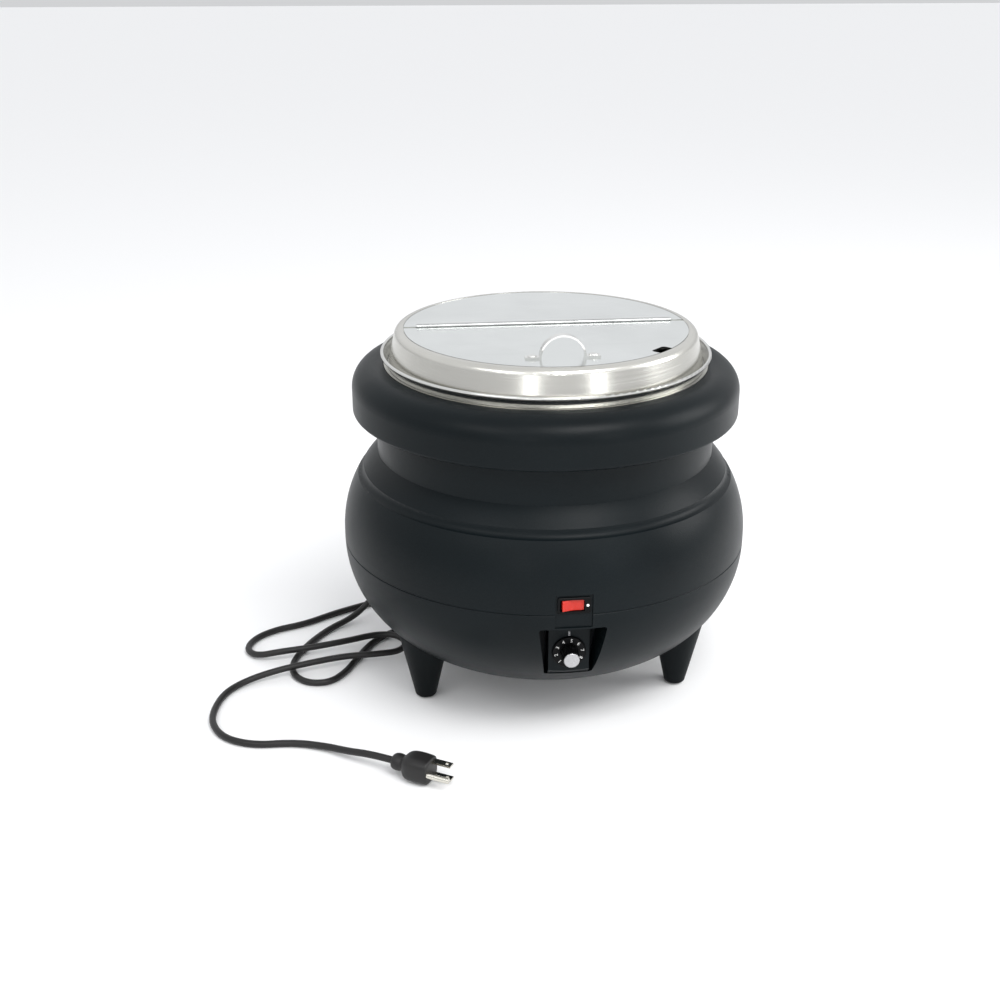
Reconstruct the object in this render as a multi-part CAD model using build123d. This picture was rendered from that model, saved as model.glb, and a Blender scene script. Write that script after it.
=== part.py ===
from build123d import *
import os
from math import asin, cos, pi, radians, sin, sqrt, tan

os.makedirs("parts", exist_ok=True)

# Soup kettle. The origin is on the table, on the body's axis. The controls face -Y and +Z is up.
# All sizes are in millimetres.

# Inset pot, which sets the size of what surrounds it
pot_radius = 128.0
pot_wall = 1.0
pot_corner_round = 22.0
pot_flange_overhang = 9.4
pot_lip_overhang = 15.3
pot_lip_rise = 9.4
pot_bead_radius = 1.5
pot_seat_gap = 0.3

# Water well
well_side_gap = 3.5
well_floor_gap = 12.5
well_wall = 1.5
well_corner_round = 12.0
well_flange_width = 7.8

# Heights of the body, from the table up
base_height = 43.0
pot_floor_rise = 38.8
bowl_height = 89.0
waist_band = 8.0
shoulder_height = 73.4
neck_height = 77.4

# Body form: a bowl arc below the waist and a shoulder arc above it
neck_side_gap = 3.5
neck_wall = 3.0
neck_hollow = 8.9
shoulder_bulge = 32.1
bowl_arc_radius = 100.0
shoulder_arc_radius = 100.0
shell_wall = 3.0
base_ledge_width = 22.0
seam_groove_depth = 0.7
seam_groove_half_width = 0.7
lap_height = 6.0
lap_wall = 1.6
lap_clearance = 0.2
crease_rise = 63.0
crease_tool_radius = 7.0
crease_depth = 1.8

# Collar and neck screws
collar_overhang = 20.5
collar_height = 41.4
collar_wall = 3.0
collar_top_round = 20.0
collar_low_round = 3.0
collar_clearance = 0.2
neck_screw_count = 3
neck_screw_inset = 6.9

# Cover
cover_wall = 1.0
cover_seat_gap = 0.4
cover_side_gap = 0.4
cover_height = 27.7
cover_taper = 6.4
cover_top_round = 6.0
cover_land_width = 7.0
cover_ledge_width = 11.4
cover_ledge_drop = 1.2
flap_clearance = 0.5
flap_lift = 0.3
hinge_y = 7.0
hinge_end_margin = 11.7
hinge_knuckles = 13
knuckle_radius = 2.2
knuckle_gap = 0.3
hinge_pin_radius = 1.1
hinge_running_gap = 0.05
hinge_pin_rise = 0.6
leaf_width = 14.0
leaf_end_margin = 5.0
leaf_thickness = 0.9
plate_edge_from_hinge = 2.7
notch_bearing = 45.0
notch_width = 18.0
notch_depth = 9.5
notch_corner = 3.0
handle_radius = 19.0
handle_thickness = 1.5
handle_width = 7.0
handle_ear = 11.5
handle_from_edge = 26.0
rivet_radius = 2.4
rivet_head_height = 1.2

# Control recess in the lower shell, with heights from the seam
window_top_drop = 13.0
window_bottom_drop = 66.0
window_top_half_width = 28.0
window_bottom_half_width = 20.0
window_corner = 2.5
bezel_wall = 1.6
bezel_gap = 0.3
bezel_depth = 42.5
panel_depth = 22.5
panel_half_width = 17.0
panel_inset = 0.6

# Thermostat and knob
knob_drop = 44.3
knob_gap = 0.4
dial_radius = 14.0
dial_thickness = 1.8
grip_radius = 7.8
grip_tip_radius = 6.9
grip_length = 12.6
pointer_half_width = 0.8
pointer_reach = 1.2
cap_radius = 6.5
cap_thickness = 1.6
shaft_radius = 3.0
shaft_running_gap = 0.08
shaft_reach_in = 8.0
thermostat_width = 30.0
thermostat_depth = 17.0
thermostat_height = 31.0
bulb_radius = 3.0
bulb_length = 50.0
bulb_gap = 6.0
capillary_radius = 1.0
capillary_x = 6.0
capillary_drop = 8.0
capillary_stub = 3.2
capillary_loop = 14.0
capillary_lead = 12.0
capillary_under_well = 5.0

# Power switch, with heights from the seam
plate_half_width = 15.0
plate_rise = 17.5
plate_depth = 2.1
plate_thickness = 2.5
plate_gap = 0.2
plate_flange = 3.0
plate_flange_thickness = 1.5
rocker_x = -1.5
rocker_rise = 8.5
rocker_half_length = 8.8
rocker_half_height = 4.6
rocker_front_depth = 6.2
rocker_side_depth = 2.2
rocker_back_depth = 2.2
rocker_dish = 0.9
rocker_tilt = 7.0
rocker_side_gap = 0.4
rocker_pivot_from_plate = 5.1
rocker_pin_radius = 0.8
rocker_running_gap = 0.08
frame_half_width = 13.4
frame_half_height = 7.0
frame_rise = 1.7
frame_round = 1.6
frame_chamfer = 0.4
dot_x = 10.9
dot_radius = 1.2
dot_rise = 0.3
switch_body_depth = 18.0
switch_body_wall = 1.3
tab_length = 7.0
tab_spacing = 6.0
tab_half_width = 3.0
tab_half_thickness = 0.4

# Heater
element_inset = 48.0
element_radius = 4.0
element_gap_angle = 30.0
element_tail = 9.0
element_tail_radius = 2.4
heat_plate_overhang = 18.0
heat_plate_thickness = 1.2
stud_radius = 3.0
stud_drop = 14.0
nut_radius = 5.5
nut_height = 4.0
cutoff_radius = 9.5
cutoff_height = 8.0
cutoff_x = 45.0
cutoff_gap = 1.0
insulation_gap = 0.3
insulation_thickness = 8.0
insulation_top_gap = 8.4
insulation_bottom_rise = 16.0
insulation_relief = 3.0

# Base and legs
base_plate_thickness = 1.5
base_plate_inset = 9.4
base_screw_count = 3
base_screw_first_bearing = 30.0
base_screw_inset = 6.0
screw_radius = 1.9
screw_head_radius = 3.8
screw_head_height = 1.4
screw_length = 9.0
leg_count = 3
leg_first_bearing = 60.0
leg_inset = 49.0
leg_foot_radius = 8.8
leg_taper = 0.225
leg_reach = 26.0
leg_foot_round = 3.0
leg_foot_clear = 1.2
leg_stud_radius = 3.0
leg_stud_grip = 19.0
leg_nut_radius = 5.5
leg_nut_height = 5.0
pad_radius = 6.0
pad_height = 4.5
pad_round = 0.8

# Mains cord and the leads inside
cord_diameter = 6.0
cord_rest_height = 3.1
cord_hump_height = 9.9
relief_bearing = -120.0
relief_drop = 72.0
relief_length = 24.0
relief_base_radius = 7.0
relief_tip_radius = 4.2
relief_flange_radius = 9.0
relief_flange_thickness = 2.0
relief_nose = 3.0
tail_radius = 2.0
terminal_length = 34.0
terminal_width = 18.0
terminal_height = 11.0
terminal_bore = 2.4
terminal_inset = 33.6
lead_radius = 1.2
lead_spacing = 4.0
lead_circle_inset = 26.0
lead_start_straight = 10.0
lead_start_turn = 14.0
lead_end_straight = 8.0
element_lead_straight = 4.0
element_lead_drop = 1.0
tail_straight = 8.0
tail_end_straight = 9.0
tail_end_turn = 7.0

# Plug, lying on its side at the cord's far end
plug_at = (-148.0, -186.0, 11.4)
plug_heading = -31.0
plug_boot_length = 12.0
plug_boot_radius = 5.2
plug_neck_radius = 7.6
plug_body_length = 24.0
plug_half_width = 12.0
plug_half_height = 11.2
plug_round = 5.0
plug_edge_round = 3.0
blade_length = 16.0
blade_width = 6.3
blade_thickness = 1.5
blade_spacing = 12.7
blade_offset = 4.2
blade_hole_radius = 1.5
blade_hole_from_tip = 4.0
ground_pin_radius = 2.4
ground_pin_length = 19.0
ground_pin_offset = -7.7

# Places that follow from the sizes above
well_inner_radius = pot_radius + well_side_gap
well_outer_radius = well_inner_radius + well_wall
well_flange_radius = well_outer_radius + well_flange_width
neck_opening_radius = well_outer_radius + neck_side_gap
neck_radius = neck_opening_radius + neck_hollow + neck_wall
bulge_radius = neck_radius + shoulder_bulge
collar_radius = neck_radius + collar_overhang
collar_inner_radius = well_flange_radius + 2 * collar_clearance
neck_screw_circle = neck_radius - neck_screw_inset

seam_height = base_height + bowl_height
neck_foot_height = seam_height + waist_band + shoulder_height
collar_top_height = neck_foot_height + neck_height
collar_low_height = collar_top_height - collar_height
crease_height = seam_height + crease_rise

well_flange_top = collar_top_height + collar_clearance
pot_flange_top = well_flange_top + pot_seat_gap + pot_wall
pot_floor_height = base_height + pot_floor_rise
well_floor_height = pot_floor_height - well_floor_gap
well_bottom = well_floor_height - well_wall
pot_flange_radius = pot_radius + pot_flange_overhang
pot_lip_radius = pot_radius + pot_lip_overhang
pot_lip_height = pot_flange_top + pot_lip_rise

cover_low_height = pot_flange_top + cover_seat_gap
cover_top_height = cover_low_height + cover_height
cover_skirt_radius = pot_flange_radius - pot_wall / 2 - cover_side_gap
cover_top_radius = cover_skirt_radius - cover_taper
cover_land_radius = cover_top_radius - cover_land_width
cover_ledge_radius = cover_land_radius - cover_ledge_width
cover_ledge_height = cover_top_height - cover_ledge_drop
flap_low = cover_ledge_height + flap_lift
hinge_length = 2 * (cover_land_radius - hinge_end_margin)
pin_height = cover_top_height + hinge_pin_rise
handle_from_axis = cover_land_radius - handle_from_edge
rivet_x = handle_radius + handle_ear / 2

window_top = seam_height - window_top_drop
window_bottom = seam_height - window_bottom_drop
bezel_back = bulge_radius - bezel_depth
panel_front = bulge_radius - panel_depth
knob_height = seam_height - knob_drop
knob_back = panel_front + knob_gap
plate_front = bulge_radius - plate_depth
plate_top = seam_height + plate_rise
rocker_height = seam_height + rocker_rise
rocker_pivot_y = -plate_front + rocker_pivot_from_plate

element_circle = pot_radius - element_inset
element_height = well_bottom - element_radius
heat_plate_radius = element_circle + heat_plate_overhang
heat_plate_height = element_height - element_radius
insulation_top = neck_foot_height - insulation_top_gap
insulation_bottom = well_bottom + insulation_bottom_rise

bowl_foot_radius = bulge_radius - bowl_arc_radius + sqrt(bowl_arc_radius**2 - bowl_height**2)
base_plate_radius = bowl_foot_radius - base_plate_inset
base_opening_radius = bowl_foot_radius - base_ledge_width
base_screw_circle = base_plate_radius - base_screw_inset
leg_circle = bulge_radius - leg_inset
leg_stud_bottom = base_height - leg_stud_grip
relief_height = seam_height - relief_drop
terminal_circle = base_plate_radius - terminal_inset


def xz(x, z):
    return (x, 0, z)


def at_bearing(radius, bearing, height=0.0):
    angle = radians(bearing)
    return Vector(radius * sin(angle), -radius * cos(angle), height)


def outline(points):
    return make_face(Polyline(*[xz(r, z) for r, z in points], close=True))


def round_corner(face, point, radius):
    target = Vector(*xz(*point))
    vertex = min(face.vertices(), key=lambda v: (Vector(v.X, v.Y, v.Z) - target).length)
    return fillet(vertex, radius)


def turned(face):
    return revolve(face, Axis.Z)


def tube(outer, inner, low, high):
    height = high - low
    body = Cylinder(outer, height) - Cylinder(inner, height * 2)
    return Pos(0, 0, (low + high) / 2) * body


def block(x0, x1, y0, y1, z0, z1):
    size = (x1 - x0, y1 - y0, z1 - z0)
    return Pos((x0 + x1) / 2, (y0 + y1) / 2, (z0 + z1) / 2) * Box(*size)


def rod_between(start, end, radius):
    start = Vector(*start)
    direction = Vector(*end) - start
    plane = Plane(origin=start, z_dir=direction)
    return extrude(plane * Circle(radius), direction.length)


def bowl_radius(height, inset=0.0):
    reach = bowl_arc_radius - inset
    return bulge_radius - bowl_arc_radius + sqrt(reach**2 - (seam_height - height) ** 2)


def shoulder_radius(height, inset=0.0):
    reach = shoulder_arc_radius - inset
    return bulge_radius - shoulder_arc_radius + sqrt(reach**2 - (height - seam_height - waist_band) ** 2)


def kettle_form(inset):
    base = base_height + inset
    top = neck_foot_height - inset
    waist_top = seam_height + waist_band
    low_mid = (base + seam_height) / 2
    high_mid = (waist_top + top) / 2
    edge = bulge_radius - inset
    low_radius = bowl_radius(base, inset)
    top_radius = shoulder_radius(top, inset)
    line = (
        Line(xz(0, base), xz(low_radius, base))
        + ThreePointArc(xz(low_radius, base), xz(bowl_radius(low_mid, inset), low_mid), xz(edge, seam_height))
        + Line(xz(edge, seam_height), xz(edge, waist_top))
        + ThreePointArc(xz(edge, waist_top), xz(shoulder_radius(high_mid, inset), high_mid), xz(top_radius, top))
        + Line(xz(top_radius, top), xz(0, top))
        + Line(xz(0, top), xz(0, base))
    )
    return turned(make_face(line))


def window_outline(grow):
    top = window_top + grow
    bottom = window_bottom - grow
    face = outline([
        (-window_top_half_width - grow, top),
        (window_top_half_width + grow, top),
        (window_bottom_half_width + grow, bottom),
        (-window_bottom_half_width - grow, bottom),
    ])
    return fillet(face.vertices(), window_corner)


def window_prism(grow, back):
    face = Pos(0, -back, 0) * window_outline(grow)
    return extrude(face, bulge_radius * 2 - back, dir=(0, -1, 0))


def seam_groove():
    return turned(outline([
        (bulge_radius + seam_groove_depth, seam_height + 2 * seam_groove_half_width),
        (bulge_radius - seam_groove_depth, seam_height),
        (bulge_radius + seam_groove_depth, seam_height - 2 * seam_groove_half_width),
    ]))


def shoulder_crease():
    centre_radius = bulge_radius - shoulder_arc_radius
    centre_height = seam_height + waist_band
    angle = asin((crease_height - centre_height) / shoulder_arc_radius)
    reach = shoulder_arc_radius + crease_tool_radius - crease_depth
    ring = Pos(0, 0, centre_height + reach * sin(angle)) * Torus(
        centre_radius + reach * cos(angle), crease_tool_radius)
    return ring


def plate_opening():
    return block(
        -plate_half_width - plate_gap, plate_half_width + plate_gap,
        -bulge_radius * 2, -plate_front / 2,
        window_top + bezel_wall, plate_top + plate_gap)


def screw(head_radius, head_height, radius, length):
    head = Pos(0, 0, -head_height / 2) * Cylinder(head_radius, head_height)
    head = fillet(head.edges().group_by(Axis.Z)[0], head_height * 0.6)
    shank = Pos(0, 0, length / 2) * Cylinder(radius, length)
    return head + shank


def make_upper_shell():
    shell = kettle_form(0) - kettle_form(shell_wall)
    shell = shell & block(-400, 400, -400, 400, seam_height, neck_foot_height + 1)
    shell -= Cylinder(neck_opening_radius, neck_foot_height * 4)
    shell -= shoulder_crease()
    shell -= seam_groove()
    shell -= plate_opening()
    for i in range(neck_screw_count):
        spot = at_bearing(neck_screw_circle, 360 / neck_screw_count * (i + 0.5), neck_foot_height)
        shell -= Pos(*spot) * Cylinder(screw_radius, shell_wall * 4)
    return shell


def relief_direction():
    depth = seam_height - relief_height
    tilt = asin(depth / bowl_arc_radius)
    flat = at_bearing(1, relief_bearing)
    return Vector(flat.X * cos(tilt), flat.Y * cos(tilt), -sin(tilt))


def relief_point(distance):
    surface = at_bearing(bowl_radius(relief_height), relief_bearing, relief_height)
    return surface + relief_direction() * distance


def leg_spots():
    return [at_bearing(leg_circle, leg_first_bearing + 360 / leg_count * i) for i in range(leg_count)]


def base_screw_spot(index):
    bearing = base_screw_first_bearing + 360 / base_screw_count * index
    return at_bearing(base_screw_circle, bearing, base_height)


def make_lower_shell():
    shell = kettle_form(0) - kettle_form(shell_wall)
    shell = shell & block(-400, 400, -400, 400, base_height - 1, seam_height)
    shell -= seam_groove()
    lap_radius = bulge_radius - shell_wall - lap_clearance
    shell += tube(lap_radius, lap_radius - lap_wall, seam_height - lap_height, seam_height + lap_height)
    root_radius = lap_radius + 2 * lap_clearance
    shell += tube(root_radius, lap_radius - lap_wall, seam_height - lap_height, seam_height)
    shell -= Pos(0, 0, base_height) * Cylinder(base_plate_radius + plate_gap, base_plate_thickness * 2)
    shell -= Cylinder(base_opening_radius, neck_foot_height)
    shell -= window_prism(0, bulge_radius / 2)
    shell -= plate_opening()
    shell -= block(
        -plate_half_width - plate_flange - plate_gap, plate_half_width + plate_flange + plate_gap,
        -bulge_radius + shell_wall, -plate_front / 2,
        window_top + bezel_wall, seam_height + lap_height * 2)
    for spot in leg_spots():
        shell -= Pos(spot.X, spot.Y, base_height) * Cylinder(leg_stud_radius, base_height)
    for i in range(base_screw_count):
        spot = base_screw_spot(i)
        shell -= Pos(*spot) * Cylinder(screw_radius, shell_wall * 4)
    shell -= rod_between(relief_point(-12), relief_point(12), relief_base_radius)
    return shell


def make_neck_ring():
    step = collar_top_height - collar_wall - collar_clearance
    seat = well_flange_top - well_wall
    foot = neck_foot_height
    ring = outline([
        (neck_opening_radius, foot),
        (neck_radius, foot),
        (neck_radius, step),
        (collar_inner_radius, step),
        (collar_inner_radius, seat),
        (neck_opening_radius, seat),
        (neck_opening_radius, step - neck_wall),
        (neck_radius - neck_wall, step - neck_wall),
        (neck_radius - neck_wall, foot + neck_wall),
        (neck_opening_radius, foot + neck_wall),
    ])
    ring = turned(ring)
    for i in range(neck_screw_count):
        spot = at_bearing(neck_screw_circle, 360 / neck_screw_count * (i + 0.5), foot)
        ring -= Pos(*spot) * Cylinder(screw_radius, neck_wall * 4)
    return ring


def make_collar():
    inner = neck_radius + collar_clearance
    low_in = collar_low_height + collar_wall
    high_in = collar_top_height - collar_wall
    side_in = collar_radius - collar_wall
    face = outline([
        (inner, collar_low_height),
        (collar_radius, collar_low_height),
        (collar_radius, collar_top_height),
        (collar_inner_radius + collar_clearance, collar_top_height),
        (collar_inner_radius + collar_clearance, high_in),
        (side_in, high_in),
        (side_in, low_in),
        (inner, low_in),
    ])
    face = round_corner(face, (collar_radius, collar_top_height), collar_top_round)
    face = round_corner(face, (side_in, high_in), collar_top_round - collar_wall)
    face = round_corner(face, (collar_radius, collar_low_height), collar_low_round)
    return turned(face)


def make_well():
    face = outline([
        (0, well_bottom),
        (well_outer_radius, well_bottom),
        (well_outer_radius, well_flange_top - well_wall),
        (well_flange_radius, well_flange_top - well_wall),
        (well_flange_radius, well_flange_top),
        (well_inner_radius, well_flange_top),
        (well_inner_radius, well_floor_height),
        (0, well_floor_height),
    ])
    face = round_corner(face, (well_outer_radius, well_bottom), well_corner_round + well_wall)
    face = round_corner(face, (well_inner_radius, well_floor_height), well_corner_round)
    return turned(face)


def make_pot():
    flange_low = pot_flange_top - pot_wall
    bead_centre = (pot_lip_radius - pot_bead_radius, pot_lip_height - pot_bead_radius)
    face = outline([
        (0, pot_floor_height),
        (pot_radius, pot_floor_height),
        (pot_radius, flange_low),
        (pot_flange_radius + pot_wall / 2, flange_low),
        (bead_centre[0] + pot_wall / 2, bead_centre[1]),
        (bead_centre[0] - pot_wall / 2, bead_centre[1]),
        (pot_flange_radius - pot_wall / 2, pot_flange_top),
        (pot_radius - pot_wall, pot_flange_top),
        (pot_radius - pot_wall, pot_floor_height + pot_wall),
        (0, pot_floor_height + pot_wall),
    ])
    face = round_corner(face, (pot_radius, pot_floor_height), pot_corner_round)
    face = round_corner(face, (pot_radius - pot_wall, pot_floor_height + pot_wall), pot_corner_round - pot_wall)
    bead = Pos(0, 0, bead_centre[1]) * Torus(bead_centre[0], pot_bead_radius)
    return turned(face) + bead


def make_cover_ring():
    low = cover_low_height
    ledge = cover_ledge_height
    under_ledge = ledge - cover_wall
    inner_at_ledge = cover_top_radius + cover_taper * (cover_top_height - under_ledge) / cover_height - cover_wall
    face = outline([
        (cover_skirt_radius, low),
        (cover_top_radius, cover_top_height),
        (cover_land_radius, cover_top_height),
        (cover_land_radius, ledge),
        (cover_ledge_radius, ledge),
        (cover_ledge_radius, under_ledge),
        (inner_at_ledge, under_ledge),
        (cover_skirt_radius - cover_wall, low),
    ])
    top_round = min(cover_top_round, (cover_top_radius - cover_land_radius) * 0.9)
    face = round_corner(face, (cover_top_radius, cover_top_height), top_round)
    return turned(face) - ladle_notch()


def ladle_notch():
    reach = cover_land_radius
    cut = Box(notch_width, notch_depth * 2, cover_height)
    cut = fillet(cut.edges().filter_by(Axis.Z), notch_corner)
    cut = Rot(0, 0, notch_bearing) * Pos(0, -reach, cover_top_height) * cut
    return cut & tube(reach, cover_ledge_radius, cover_low_height, cover_top_height + cover_wall)


def half_plate(radius, low, high, front):
    disc = Pos(0, 0, (low + high) / 2) * Cylinder(radius, high - low)
    if front:
        return disc & block(-radius, radius, -radius, hinge_y - plate_edge_from_hinge, low, high)
    return disc & block(-radius, radius, hinge_y + plate_edge_from_hinge, radius, low, high)


def make_rear_plate():
    low = cover_ledge_height
    return half_plate(cover_land_radius - flap_clearance / 2, low, low + cover_wall, False)


def make_flap():
    low = flap_low
    flap = half_plate(cover_land_radius - flap_clearance, low, low + cover_wall, True)
    flap -= ladle_notch()
    for side in (-1, 1):
        flap -= Pos(side * rivet_x, -handle_from_axis, low) * Cylinder(rivet_radius, cover_wall * 4)
    return flap


def make_leaf(front):
    pitch = hinge_length / hinge_knuckles
    side = -1 if front else 1
    top = flap_low if front else cover_ledge_height
    half = hinge_length / 2 - leaf_end_margin
    near = hinge_y + side * knuckle_radius * 0.55
    far = hinge_y + side * leaf_width
    leaf = block(-half, half, min(near, far), max(near, far), top - leaf_thickness, top)
    for i in range(hinge_knuckles):
        start = -hinge_length / 2 + i * pitch
        clear = knuckle_gap / 2
        mine = (i % 2 == 1) == front
        if mine:
            leaf += rod_between(
                (start + clear, hinge_y, pin_height), (start + pitch - clear, hinge_y, pin_height), knuckle_radius)
        else:
            leaf -= block(
                start - clear, start + pitch + clear, hinge_y - knuckle_radius - knuckle_gap,
                hinge_y + knuckle_radius + knuckle_gap, pin_height - 4 * knuckle_radius, pin_height)
    end = hinge_length
    gap = hinge_running_gap if front else 0.0
    leaf -= rod_between((-end, hinge_y, pin_height), (end, hinge_y, pin_height), hinge_pin_radius + gap)
    return leaf


def make_hinge_pin():
    half = hinge_length / 2
    return rod_between((-half, hinge_y, pin_height), (half, hinge_y, pin_height), hinge_pin_radius)


def make_handle():
    base = flap_low + cover_wall
    inner = handle_radius - handle_thickness
    ring = Circle(handle_radius) - Circle(inner)
    upper = Pos(0, handle_radius) * Rectangle(handle_radius * 4, handle_radius * 2)
    face = ring & upper
    for side in (-1, 1):
        ear = Pos(side * (inner + (handle_ear + handle_thickness) / 2), handle_thickness / 2)
        face += ear * Rectangle(handle_ear + handle_thickness, handle_thickness)
    plane = Plane(origin=(0, -handle_from_axis + handle_width / 2, base), x_dir=(1, 0, 0), z_dir=(0, -1, 0))
    handle = extrude(plane * face, handle_width)
    for side in (-1, 1):
        handle -= Pos(side * rivet_x, -handle_from_axis, base) * Cylinder(rivet_radius, handle_thickness * 4)
    return handle


def make_rivet(side):
    base = flap_low + cover_wall + handle_thickness
    low = flap_low
    shank = Pos(0, 0, (low + base) / 2) * Cylinder(rivet_radius, base - low)
    head = Pos(0, 0, base + rivet_head_height / 2) * Cylinder(rivet_radius * 1.5, rivet_head_height)
    head = fillet(head.edges().group_by(Axis.Z)[-1], rivet_head_height * 0.8)
    return Pos(side * rivet_x, -handle_from_axis, 0) * (shank + head)


def make_bezel():
    pocket = window_prism(bezel_wall, bezel_back)
    pocket -= window_prism(0, bezel_back + bezel_wall)
    pocket = pocket & kettle_form(shell_wall + bezel_gap)
    low = window_bottom + bezel_gap
    high = window_top - bezel_gap
    panel = block(-panel_half_width, panel_half_width, -panel_front, -bezel_back, low, high)
    bezel = pocket + (panel & kettle_form(panel_inset))
    inside = panel_half_width - bezel_wall
    bezel -= block(
        -inside, inside, -panel_front + bezel_wall, -bezel_back + bezel_wall,
        low + bezel_wall, high - bezel_wall)
    return bezel - rod_between(
        (0, -bulge_radius, knob_height), (0, -bezel_back, knob_height), shaft_radius + shaft_running_gap)


def make_thermostat():
    front = -panel_front + bezel_wall
    half = thermostat_width / 2
    low = knob_height - thermostat_height / 2
    body = block(-half, half, front, front + thermostat_depth, low, low + thermostat_height)
    body -= rod_between(
        (0, front - 1, knob_height), (0, front + shaft_reach_in + 0.5, knob_height),
        shaft_radius + shaft_running_gap)
    return body


def make_shaft():
    inner = -panel_front + bezel_wall + shaft_reach_in
    outer = -knob_back - dial_thickness - grip_length / 2
    return rod_between((0, outer, knob_height), (0, inner, knob_height), shaft_radius)


def make_dial():
    back = -knob_back
    dial = rod_between((0, back, knob_height), (0, back - dial_thickness, knob_height), dial_radius)
    dial = fillet(dial.edges().group_by(Axis.Y)[0], dial_thickness * 0.5)
    return dial - rod_between((0, back + 1, knob_height), (0, back - 10, knob_height), shaft_radius)


def make_grip():
    back = -knob_back - dial_thickness
    tip = back - grip_length
    plane = Plane(origin=(0, back, knob_height), x_dir=(1, 0, 0), z_dir=(0, -1, 0))
    grip = loft([plane * Circle(grip_radius), plane.offset(grip_length) * Circle(grip_tip_radius)])
    pointer_top = knob_height + grip_radius + pointer_reach
    grip += block(-pointer_half_width, pointer_half_width, tip, back, knob_height, pointer_top)
    return grip - rod_between((0, back + 1, knob_height), (0, back - grip_length / 2, knob_height), shaft_radius)


def make_cap():
    back = -knob_back - dial_thickness - grip_length
    cap = rod_between((0, back, knob_height), (0, back - cap_thickness, knob_height), cap_radius)
    return fillet(cap.edges().group_by(Axis.Y)[0], cap_thickness * 0.6)


def make_sensor():
    bulb_y = -element_circle - element_radius - bulb_radius - bulb_gap
    bulb_z = well_bottom - bulb_radius
    half = bulb_length / 2
    bulb = rod_between((-half, bulb_y, bulb_z), (half, bulb_y, bulb_z), bulb_radius)
    back = -panel_front + bezel_wall + thermostat_depth
    end_z = knob_height - capillary_drop
    drop_y = back + capillary_stub
    under_z = well_bottom - capillary_under_well
    turn_x = half + capillary_lead
    line = wire([
        (half, bulb_y, bulb_z),
        (turn_x, bulb_y, bulb_z),
        (turn_x, bulb_y - capillary_loop, under_z),
        (capillary_x, drop_y + capillary_loop, under_z),
        (capillary_x, drop_y, under_z),
        (capillary_x, drop_y, end_z),
        (capillary_x, back, end_z),
    ], capillary_radius)
    return bulb + line


def make_switch_plate():
    low = window_top + bezel_wall + plate_gap
    front = -plate_front
    plate = block(-plate_half_width, plate_half_width, front, front + plate_thickness, low, plate_top)
    flange_half = plate_half_width + plate_flange
    flange = block(
        -flange_half, flange_half, front + plate_thickness, front + plate_thickness + plate_flange_thickness,
        low, plate_top + plate_flange)
    plate += flange & kettle_form(shell_wall + plate_gap)
    return plate - rocker_opening(front - 1, front + plate_thickness + plate_flange_thickness + 1, 0)


def rocker_opening(y0, y1, grow):
    half = rocker_swing_half() + grow
    tall = rocker_half_height + rocker_side_gap + grow
    return block(
        rocker_x - half, rocker_x + half, y0, y1, rocker_height - tall, rocker_height + tall)


def rocker_swing_half():
    tilt = radians(rocker_tilt)
    return rocker_half_length * cos(tilt) + rocker_front_depth * sin(tilt) + rocker_side_gap


def make_switch_frame():
    front = -plate_front - frame_rise
    frame = block(
        -frame_half_width, frame_half_width, front, -plate_front,
        rocker_height - frame_half_height, rocker_height + frame_half_height)
    frame = fillet(frame.edges().filter_by(Axis.Y), frame_round)
    frame = chamfer(frame.faces().sort_by(Axis.Y)[0].edges(), frame_chamfer)
    frame -= rocker_opening(front - 1, -plate_front + 1, 0)
    return frame - rod_between((dot_x, front - 1, rocker_height), (dot_x, -plate_front, rocker_height), dot_radius)


def make_dot():
    front = -plate_front - frame_rise - dot_rise
    dot = rod_between((dot_x, front, rocker_height), (dot_x, -plate_front, rocker_height), dot_radius)
    return fillet(dot.edges().group_by(Axis.Y)[0], dot_rise)


def make_switch_body():
    front = -plate_front + plate_thickness + plate_flange_thickness
    back = front + switch_body_depth
    half = rocker_swing_half() + switch_body_wall
    tall = rocker_half_height + rocker_side_gap + switch_body_wall
    body = block(
        rocker_x - half, rocker_x + half, front, back, rocker_height - tall, rocker_height + tall)
    floor = rocker_pivot_y + rocker_front_depth * 0.6
    body -= rocker_opening(front - 1, floor, 0)
    body -= rocker_pin(rocker_pin_radius + rocker_running_gap, tall * 2)
    for i in (-1, 0, 1):
        x = rocker_x + i * tab_spacing
        body += block(
            x - tab_half_thickness, x + tab_half_thickness, back, back + tab_length,
            rocker_height - tab_half_width, rocker_height + tab_half_width)
    return body


def rocker_pin(radius, half):
    return rod_between(
        (rocker_x, rocker_pivot_y, rocker_height - half), (rocker_x, rocker_pivot_y, rocker_height + half), radius)


def make_rocker():
    length = rocker_half_length
    front = -rocker_front_depth
    points = [
        (-length, front), (0, front + rocker_dish), (length, front),
        (length, -rocker_side_depth), (0, rocker_back_depth), (-length, -rocker_side_depth),
    ]
    face = make_face(Polyline(*[(x, y, 0) for x, y in points], close=True))
    paddle = extrude(face, rocker_half_height * 2)
    paddle = Pos(0, 0, -rocker_half_height) * paddle
    paddle = Rot(0, 0, rocker_tilt) * paddle
    paddle = Pos(rocker_x, rocker_pivot_y, rocker_height) * paddle
    pin_half = rocker_half_height + rocker_side_gap + switch_body_wall
    return paddle + rocker_pin(rocker_pin_radius, pin_half)


def make_element():
    gap = radians(element_gap_angle / 2)
    ends = [
        Vector(-element_circle * cos(gap), side * element_circle * sin(gap), element_height) for side in (-1, 1)
    ]
    arc = ThreePointArc(ends[0], (element_circle, 0, element_height), ends[1])
    ring = sweep(Plane(origin=arc @ 0, z_dir=arc % 0) * Circle(element_radius), arc)
    for end in ends:
        ring += rod_between(end, (end.X, end.Y, end.Z - element_tail), element_tail_radius)
    return ring


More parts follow.
